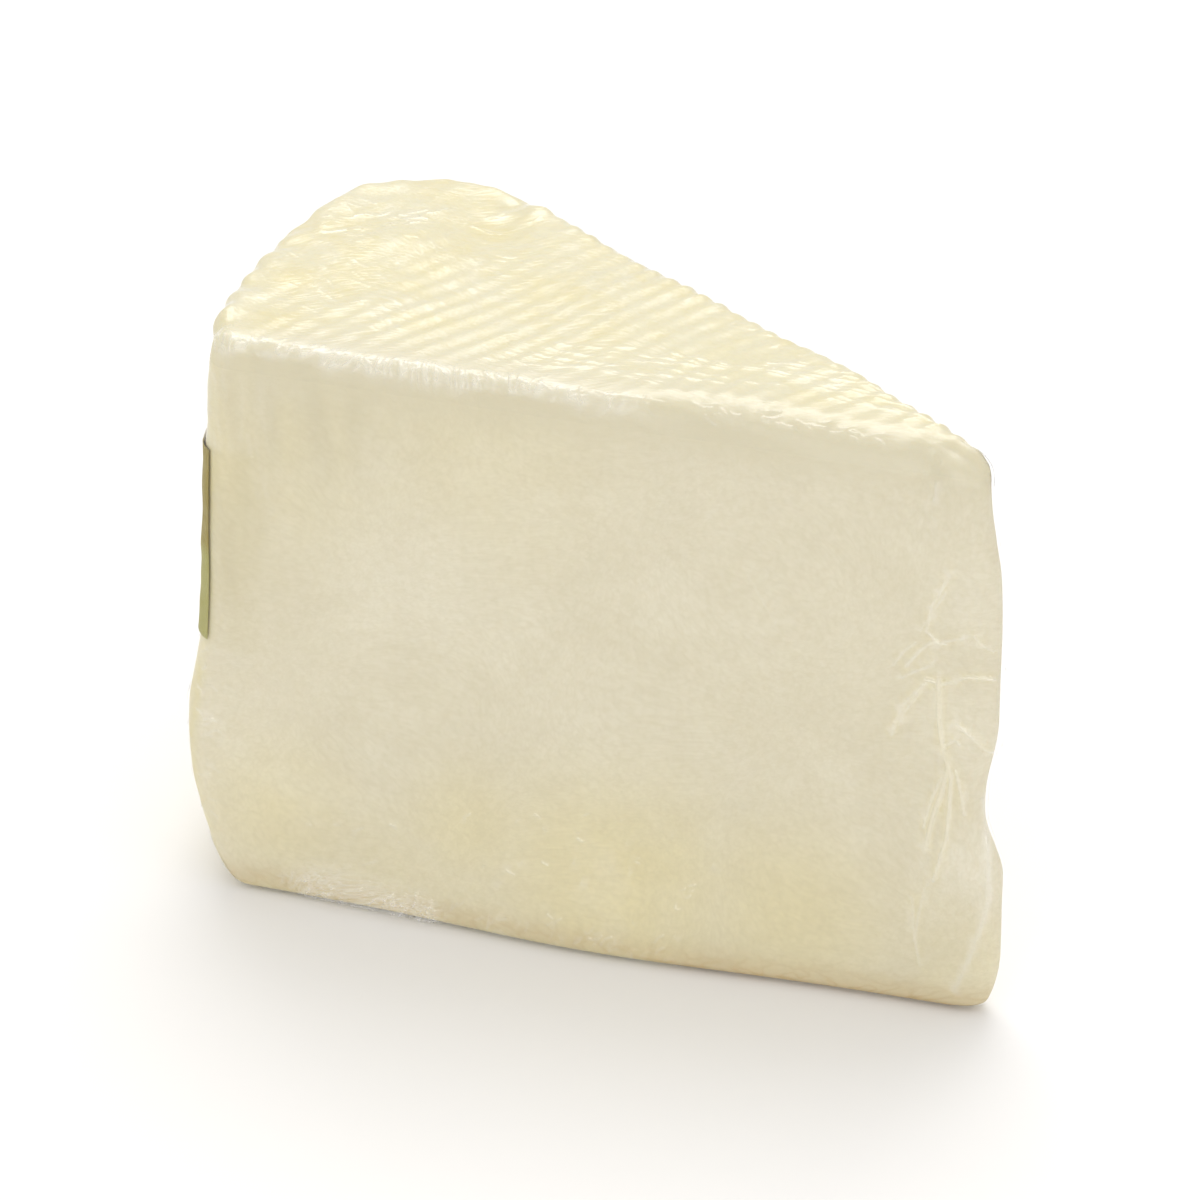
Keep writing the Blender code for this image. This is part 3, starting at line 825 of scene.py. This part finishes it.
def label_material(colours):
    """Matt paper with two plain fields of colour and a bare oval panel with a ring in it."""
    material, tree, end = new_material("label_paper")
    place = object_place(tree)
    fibres = noise_of(tree, place, 1500.0, 3.0)
    band = step_of(tree, height_of(tree, place), 45.0 * MM, 48.0 * MM)
    field = blend(tree, band, colours.label, colours.label_band)
    low, high = (Vector(corner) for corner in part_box("rind_label"))
    middle = 0.5 * (low + high)
    squeeze = 0.72
    squeezed = node(tree, "ShaderNodeMapping", {"Vector": place, "Scale": (0.0, squeeze, 1.0)})
    away = node(tree, "ShaderNodeVectorMath", {
        0: squeezed.outputs[0], 1: (0.0, squeeze * middle.y, middle.z)},
        operation="DISTANCE").outputs["Value"]
    fade = 0.3 * MM
    for reach, tone in ((9.3, colours.label_panel), (8.5, colours.label_band),
                        (8.1, colours.label_panel)):
        field = blend(tree, step_of(tree, away, reach * MM, reach * MM - fade), field, tone)
    worn = use_group(tree, patches_group(), {"Vector": place, "Scale": 500.0, "Softness": 0.2})
    ink = blend(tree, calc(tree, "MULTIPLY", worn, 0.1), field, colours.label_panel)
    shader = node(tree, "ShaderNodeBsdfPrincipled", {
        "Base Color": ink, "Roughness": 0.8, "Specular IOR Level": 0.1,
        "Normal": bumped(tree, fibres, 0.2, 0.05 * MM)})
    tree.links.new(shader.outputs[0], end.inputs["Surface"])
    return material


def cheese_marks(form, smooth, folds, relief):
    """Where the cheese is rind, yellower, tinted and hollow, and where painted shade darkens it, in
    places, along its upper edge and under the folds, and painted light makes it paler.
    """
    x, z = smooth[:, 0], smooth[:, 2]
    front, back, rind = walls(form, smooth)
    inside_rind = np.minimum(np.minimum(rind, form.height - z), z)
    ragged = 0.8 * MM * cloud(smooth, 2.2 * MM, seed=21.0)
    ragged += 2.4 * MM * smoothstep(8.0 * MM, 20.0 * MM, x) * (front < back)
    past_rind = inside_rind - np.minimum(front, back) + ragged
    drift = 0.5 + 0.5 * cloud(smooth, 11.0 * MM, seed=33.0) + 0.35 * cloud(smooth, 4.0 * MM, seed=35.0)
    # painted warm light: the paste is yellower low down, as if lit by warm light bounced from below
    warm_light_below = 0.6 * (1.0 - smoothstep(5.0 * MM, 24.0 * MM, z)) * np.clip(drift, 0.0, 1.0)
    # the painted shade falls in soft vertical bands
    bands = 0.75 + 0.6 * cloud(smooth * (1.0, 1.0, 0.12), 2.0 * MM, seed=41.0)
    # painted shade: the rind is darkened along the top's front edge
    shoulder = 1.0 - smoothstep(1.5 * MM, 9.0 * MM, np.hypot(front, form.height - z))
    return {
        "rind": 1.0 - smoothstep(-0.6 * MM, 2.2 * MM, past_rind),
        "yellow_tone": np.maximum(warm_light_below, places(smooth, YELLOW_TONE_PLACES_MM)),
        "painted_shade": np.clip(places(smooth, PAINTED_SHADE_PLACES_MM) * bands, 0.0, 1.0),
        # painted light: paler in soft patches where the film lifts off, and in the listed places
        "pale": np.maximum(0.28 * smoothstep(0.4, 0.95, drift), places(smooth, PAINTED_LIGHT_PLACES_MM)),
        "tint": places(smooth, TINTED_PLACES_MM),
        "shoulder": shoulder * smoothstep(-44.0 * MM, -30.0 * MM, x),
        # painted shade under the point's folds
        "fold_shade": np.clip(folds / (0.4 * MM), 0.0, 1.0),
        "hollow": smoothstep(0.05 * MM, -0.2 * MM, relief),
    }


class CHEESE_OT_cheese(Operator):
    """Build the cheese, with its ridged rind and smooth cut faces"""
    bl_idname = "cheese.cheese"
    bl_label = "Cheese"

    def execute(self, context):
        form = context.scene.cheese_form
        mesh, smooth = wedge_mesh(form, CHEESE_CELLS, form.film_gap + FILM_DEPTH)
        normals = outward(form, smooth)
        relief = rind_relief(form, smooth, normals, ridge_share=1.0)
        point_folds = laid_folds(form, POINT_FOLDS_MM, CHEESE_FOLD_WIDENING, FOLD_RAISE)
        folds, _ = fold_field(smooth, point_folds, CHEESE_FOLD_REACH)
        relief += np.minimum(folds, 0.0) + 0.5 * np.maximum(folds, 0.0)
        set_vertices(mesh, smooth + normals * (relief * off_the_floor(normals))[:, None])
        new_piece("cheese", mesh, cheese_material(context.scene.cheese_colours),
                  "wrapped_wedge", cheese_marks(form, smooth, folds, relief))
        return {"FINISHED"}


def off_the_floor(normals):
    """The share of relief that is left: none under the wedge, where it stands."""
    return smoothstep(0.3, 0.9, 1.0 + normals[:, 2])


def film_marks(form, smooth, normals, creases, pocket_height):
    """Where the film is crumpled at the edge, loose, matt, hazy and whitened by painted highlights."""
    x, z = smooth[:, 0], smooth[:, 2]
    front, _, _ = walls(form, smooth)
    from_edge = np.hypot(front, form.height - z)
    band = (2.6 + 1.3 * cloud(smooth, 3.0 * MM, seed=3.0)) * MM
    edge = 1.0 - smoothstep(0.35 * band, band, from_edge)
    edge *= 1.0 - smoothstep(4.0 * MM, 14.0 * MM, x)
    on_top = smoothstep(0.6, 0.95, normals[:, 2])
    crest = np.clip(creases / (0.22 * MM), 0.0, 1.0)
    pocket = np.clip(pocket_height / (0.6 * MM), 0.0, 1.0)
    shoulder = 1.0 - smoothstep(1.5 * MM, 6.5 * MM, from_edge)
    calm = 1.0 - 0.6 * smoothstep(-5.0 * MM, 15.0 * MM, x)
    # painted highlight: a whitish band of film beside the label
    highlight_beside_label = (1.0 - smoothstep(-39.5 * MM, -36.0 * MM, x)) * np.clip(-normals[:, 1], 0.0, 1.0)
    highlight_beside_label *= plateau(z, (29.0, 36.0, 58.0, 64.0))
    # the haze is partly the whiteness of bunched film and partly painted highlight on fold crests, along
    # the crumpled front edge and beside the label
    haze_and_glints = 0.01 + 0.17 * crest * (1.0 - 0.5 * shoulder) + 0.09 * edge + 0.07 * pocket
    return {
        "edge": edge,
        "loose": 0.02 + 0.15 * on_top * calm + 0.45 * pocket,
        "matt": np.maximum(shoulder, 0.5 * on_top),
        "haze_and_glints": haze_and_glints + 0.05 * highlight_beside_label,
        "stuck": film_over_label(form, smooth),
    }


class CHEESE_OT_film(Operator):
    """Build the clear film stretched over the cheese, with its crinkles and folds"""
    bl_idname = "cheese.film"
    bl_label = "Film"

    def execute(self, context):
        form = context.scene.cheese_form
        small_folds = scattered_folds(form) + laid_folds(form, POINT_FOLDS_MM, 1.0, FOLD_RAISE)
        small_folds += laid_folds(form, mirrored(BACK_FOLDS_MM))
        flap = laid_folds(form, (FLAP_EDGE_MM,))
        pocket = laid_folds(form, FOOT_FOLDS_MM)
        mesh, smooth = wedge_mesh(form, FILM_CELLS, FILM_DEPTH)
        for reach, longest in FINE_CUTS_MM:
            _, nearest = fold_field(smooth, small_folds + flap, FOLD_REACH)
            set_vertices(mesh, smooth)
            cut_finer(mesh, nearest < reach * MM, longest * MM)
            smooth = pull_to_depth(form, vertex_array(mesh), FILM_DEPTH, steps=4)
        normals = outward(form, smooth)
        creases, _ = fold_field(smooth, small_folds, FOLD_REACH)
        flap_step, _ = fold_field(smooth, flap, FOLD_REACH)
        pocket_height, _ = fold_field(smooth, pocket, POCKET_REACH)
        height = rind_relief(form, smooth, normals, ridge_share=0.6) + creases
        height = (height + flap_step + pocket_height) * off_the_floor(normals)
        height += point_lap(smooth) + film_over_label(form, smooth) * LABEL_BULGE
        points = smooth + normals * height[:, None]
        points[:, 2] = np.maximum(points[:, 2], 0.0)
        set_vertices(mesh, points)
        marks = film_marks(form, smooth, normals, np.maximum(creases, flap_step), pocket_height)
        new_piece("clear_film", mesh, film_material(), "wrapped_wedge", marks)
        return {"FINISHED"}


def point_lap(points):
    """How far the film's lapped end stands out over the point."""
    nose = smoothstep(45.0 * MM, 48.5 * MM, points[:, 0])
    z = points[:, 2]
    lap = smoothstep(36.1 * MM, 37.0 * MM, z) * (1.0 - smoothstep(39.0 * MM, 52.0 * MM, z))
    return LAP_BULGE * nose * lap


def film_over_label(form, points):
    """1 where the film has to pass over the label, and 0 a little beyond its edges."""
    start, end, low, high = label_span(form)
    centre_x, centre_y, radius = rind_centre(form)
    turn = np.arctan2(centre_y - points[:, 1], centre_x - points[:, 0])
    covered = points[:, 0] < -30.0 * MM
    for past_edge in ((turn - start) * radius, (end - turn) * radius,
                      points[:, 2] - high, low - points[:, 2]):
        covered = covered * (1.0 - smoothstep(0.1 * MM, 0.9 * MM, past_edge))
    return covered


class CHEESE_OT_label(Operator):
    """Build the paper label that lies on the rind, under the film"""
    bl_idname = "cheese.label"
    bl_label = "Label"

    def execute(self, context):
        form = context.scene.cheese_form
        mesh = gridded_cube(LABEL_CELLS)
        cube = vertex_array(mesh)
        start, end, low, high = label_span(form)
        turn = end + 0.5 * (start - end) * (1.0 + cube[:, 0])
        z = low + 0.5 * (high - low) * (1.0 + cube[:, 2])
        centre_x, centre_y, _ = rind_centre(form)
        reach = form.rind_radius + 2.0 * MM
        around = np.column_stack((centre_x - reach * np.cos(turn), centre_y - reach * np.sin(turn), z))
        depth = np.where(cube[:, 1] < 0.0, LABEL_OUTER_DEPTH, LABEL_INNER_DEPTH)
        points = pull_to_depth(form, around, depth)
        points += outward(form, points) * unevenness(form, points, outward(form, points))[:, None]
        set_vertices(mesh, points)
        new_piece("label", mesh, label_material(context.scene.cheese_colours),
                  "rind_label")
        return {"FINISHED"}


def rind_centre(form):
    """The middle of the rind's arc, and its radius."""
    return POINT_X + form.rind_radius - form.point_to_rind, POINT_Y + form.rind_shift, form.rind_radius


def label_span(form):
    """Where the label starts and ends round the rind's middle, and its two heights."""
    low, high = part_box("rind_label")
    _, centre_y, radius = rind_centre(form)
    start = math.asin((centre_y - low[1]) / radius)
    end = math.asin((centre_y - high[1]) / radius)
    return start, end, low[2], high[2]


class CHEESE_OT_stage(Operator):
    """Set up the pale floor, the soft light and the camera"""
    bl_idname = "cheese.stage"
    bl_label = "Stage"

    def execute(self, context):
        make_floor()
        make_light(context.scene)
        make_camera(context.scene)
        return {"FINISHED"}


def make_floor():
    """A wide white floor."""
    mesh = bmesh.new()
    bmesh.ops.create_grid(mesh, x_segments=1, y_segments=1, size=4.0)
    data = bpy.data.meshes.new("floor")
    mesh.to_mesh(data)
    mesh.free()
    material, tree, end = new_material("pale_floor")
    shader = node(tree, "ShaderNodeBsdfPrincipled", {
        "Base Color": (0.87, 0.855, 0.84, 1.0), "Roughness": 0.9, "Specular IOR Level": 0.0})
    tree.links.new(shader.outputs[0], end.inputs["Surface"])
    data.materials.append(material)
    floor = bpy.data.objects.new("floor", data)
    floor.location.z = -0.05 * MM
    bpy.context.scene.collection.objects.link(floor)


def make_light(scene):
    """White surroundings, a soft light above and behind the wedge, and one in front of it."""
    world = bpy.data.worlds.new("white_room")
    world.use_nodes = True
    sky = world.node_tree.nodes["Background"]
    sky.inputs["Color"].default_value = (1.0, 1.0, 1.0, 1.0)
    sky.inputs["Strength"].default_value = 0.9
    scene.world = world
    for name, place, side, power in LIGHTS:
        area_light(name, place, side, power)
    scene.view_settings.view_transform = "Standard"


def area_light(name, place, side, power):
    """A square soft light that faces the wedge."""
    lamp = bpy.data.lights.new(name, "AREA")
    lamp.shape = "SQUARE"
    lamp.size = side
    lamp.energy = power
    light = bpy.data.objects.new(name, lamp)
    light.location = place
    facing = Vector((0.0, 0.0, 0.03)) - Vector(place)
    light.rotation_euler = facing.to_track_quat("-Z", "Y").to_euler()
    bpy.context.scene.collection.objects.link(light)


def make_camera(scene):
    """The photograph's view: from the right of the front cut face, above it."""
    azimuth, elevation = CAMERA_AZIMUTH, CAMERA_ELEVATION
    data = bpy.data.cameras.new("camera")
    data.sensor_width = 36.0
    data.lens = CAMERA_LENS_MM
    data.clip_start = 0.05
    camera = bpy.data.objects.new("camera", data)
    toward = Vector((math.sin(azimuth) * math.cos(elevation), -math.cos(azimuth) * math.cos(elevation),
                     math.sin(elevation)))
    right = Vector((math.cos(azimuth), math.sin(azimuth), 0.0))
    up = toward.cross(right)
    middle = Vector((POINT_X - 50.0 * MM, POINT_Y, 37.5 * MM))
    aim = middle - 5.96 * MM * right + 2.89 * MM * up
    turned = Matrix((right, up, toward)).transposed()
    camera.matrix_world = Matrix.Translation(aim + toward * CAMERA_DISTANCE) @ turned.to_4x4()
    scene.collection.objects.link(camera)
    scene.camera = camera


class CHEESE_PT_panel(Panel):
    """Buttons that build the wedge"""
    bl_idname = "CHEESE_PT_panel"
    bl_label = "Cheese wedge"
    bl_space_type = "VIEW_3D"
    bl_region_type = "UI"
    bl_category = "Cheese"

    def draw(self, context):
        for step in STEPS:
            self.layout.operator(step.bl_idname)
        for group in (context.scene.cheese_form, context.scene.cheese_colours):
            for name in group.__annotations__:
                self.layout.prop(group, name)


STEPS = (CHEESE_OT_stage, CHEESE_OT_cheese, CHEESE_OT_film, CHEESE_OT_label)
CLASSES = (WedgeForm, WedgeColours) + STEPS + (CHEESE_PT_panel,)


def register():
    """Add the classes and the settings to Blender."""
    for item in CLASSES:
        bpy.utils.register_class(item)
    bpy.types.Scene.cheese_form = PointerProperty(type=WedgeForm)
    bpy.types.Scene.cheese_colours = PointerProperty(type=WedgeColours)


def unregister():
    """Take the classes and the settings out of Blender."""
    del bpy.types.Scene.cheese_form
    del bpy.types.Scene.cheese_colours
    for item in reversed(CLASSES):
        bpy.utils.unregister_class(item)


def main():
    """Build every piece in order."""
    register()
    bpy.ops.cheese.stage()
    bpy.ops.cheese.cheese()
    bpy.ops.cheese.film()
    bpy.ops.cheese.label()


if __name__ == "__main__":
    main()
